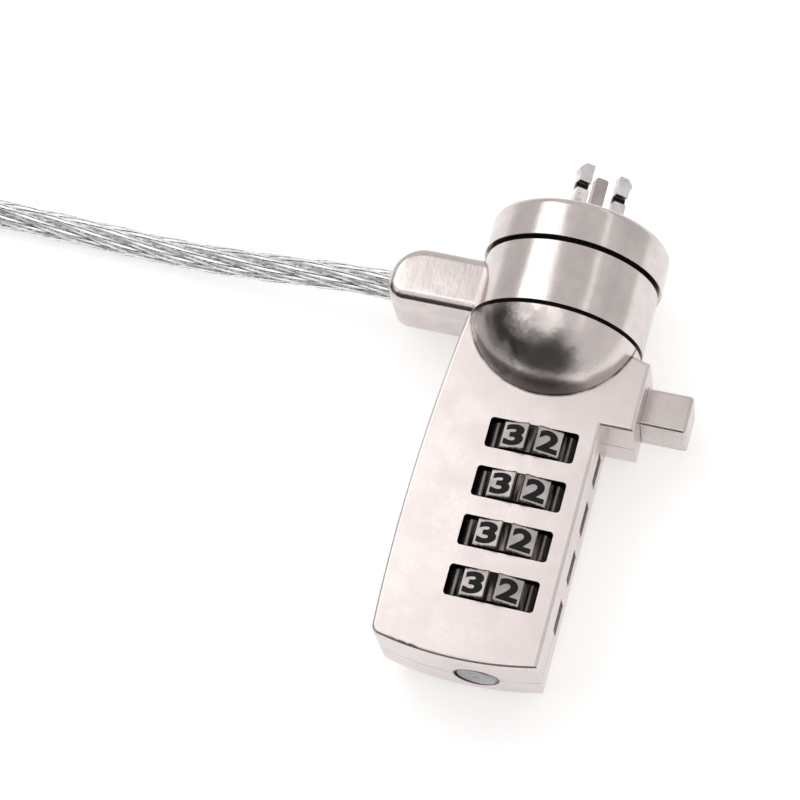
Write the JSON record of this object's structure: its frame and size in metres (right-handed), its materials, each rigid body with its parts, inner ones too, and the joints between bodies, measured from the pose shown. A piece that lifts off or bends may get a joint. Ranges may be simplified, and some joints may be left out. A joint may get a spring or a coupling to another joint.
{
  "type": "laptop cable lock",
  "caption": "Four-dial combination cable lock: slab case with dials, domed swivel barrel, notched security-slot hooks, side push button and a coiled steel cable.",
  "frame": {"origin": "on the flat back face, under the middle of the four dials", "axes": "+Z out of the front face with the dials, +Y along the lock towards the hooks, +X towards the push button; the cable leaves towards -X"},
  "size_m": [0.1594, 0.0862, 0.0215],
  "materials": {
    "case_metal": "satin nickel plate on die-cast zinc",
    "polished_metal": "polished nickel plate on die-cast zinc",
    "dial_metal": "nickel-plated zinc, black filled digits",
    "plunger_metal": "turned steel, bright",
    "hook_metal": "hardened steel, bright and slightly rough",
    "steel": "turned steel",
    "spring_steel": "spring steel",
    "brass_hub": "turned brass",
    "black_washer": "black acetal",
    "cable": "stranded galvanised steel in a clear jacket",
    "ferrule_metal": "pressed aluminium",
    "tie_fabric": "black hook-and-loop tape"
  },
  "bodies": {
    "case": {"front_case": "case_metal", "rear_case": "case_metal", "case_dowels": "steel", "detent_spring": "spring_steel", "barrel_stem": "steel", "slip_washers": "black_washer", "cap": "polished_metal", "cap_ring": "spring_steel", "centre_blade": "hook_metal", "spring_seat": "steel", "button_spring": "spring_steel", "spindle_spring": "spring_steel", "plunger_spring": "spring_steel"},
    "collar": {"collar": "polished_metal", "cable_stop": "steel", "cable_run": "cable", "cable_loop": "cable", "cable_coil": "cable", "loop_ferrule": "ferrule_metal", "coil_tie": "tie_fabric"},
    "button": {"button": "case_metal"},
    "spindle": {"spindle": "steel"},
    "hooks": {"hook_carrier": "steel", "left_hook": "hook_metal", "right_hook": "hook_metal"},
    "reset_plunger": {"reset_plunger": "plunger_metal"},
    "dial_1": {"dial_1": "dial_metal", "dial_hub_1": "brass_hub"},
    "dial_2": {"dial_2": "dial_metal", "dial_hub_2": "brass_hub"},
    "dial_3": {"dial_3": "dial_metal", "dial_hub_3": "brass_hub"},
    "dial_4": {"dial_4": "dial_metal", "dial_hub_4": "brass_hub"}
  },
  "joints": [
    {"name": "collar_swivel", "type": "hinge", "parent": "case", "child": "collar", "pos_m": [-0.0009, 0.02715, 0.01075], "axis": [0, 1, 0], "continuous": true},
    {"name": "dial_1_turn", "type": "hinge", "parent": "case", "child": "dial_1", "pos_m": [0, 0.00912, 0.0079], "axis": [0, 1, 0], "continuous": true},
    {"name": "dial_2_turn", "type": "hinge", "parent": "case", "child": "dial_2", "pos_m": [0, 0.00304, 0.0079], "axis": [0, 1, 0], "continuous": true},
    {"name": "dial_3_turn", "type": "hinge", "parent": "case", "child": "dial_3", "pos_m": [0, -0.00304, 0.0079], "axis": [0, 1, 0], "continuous": true},
    {"name": "dial_4_turn", "type": "hinge", "parent": "case", "child": "dial_4", "pos_m": [0, -0.00912, 0.0079], "axis": [0, 1, 0], "continuous": true},
    {"name": "button_press", "type": "slide", "parent": "case", "child": "button", "axis": [-1, 0, 0], "range_m": [0, 0.0025], "stiffness_N_per_m": 300, "springref_m": -0.004, "deforming": ["button_spring"]},
    {"name": "spindle_lift", "type": "slide", "parent": "case", "child": "spindle", "axis": [0, 1, 0], "range_m": [0, 0.0012], "deforming": ["spindle_spring"]},
    {"name": "hooks_shift", "type": "slide", "parent": "case", "child": "hooks", "axis": [-0.4226, 0, -0.9063], "range_m": [0, 0.0012]},
    {"name": "plunger_press", "type": "slide", "parent": "case", "child": "reset_plunger", "axis": [0, 1, 0], "range_m": [0, 0.0007], "stiffness_N_per_m": 300, "springref_m": -0.002, "deforming": ["plunger_spring"]}
  ],
  "couplings": [
    {"joint": "spindle_lift", "follows": "button_press", "ratio": 0.48},
    {"joint": "hooks_shift", "follows": "button_press", "ratio": 0.48}
  ]
}
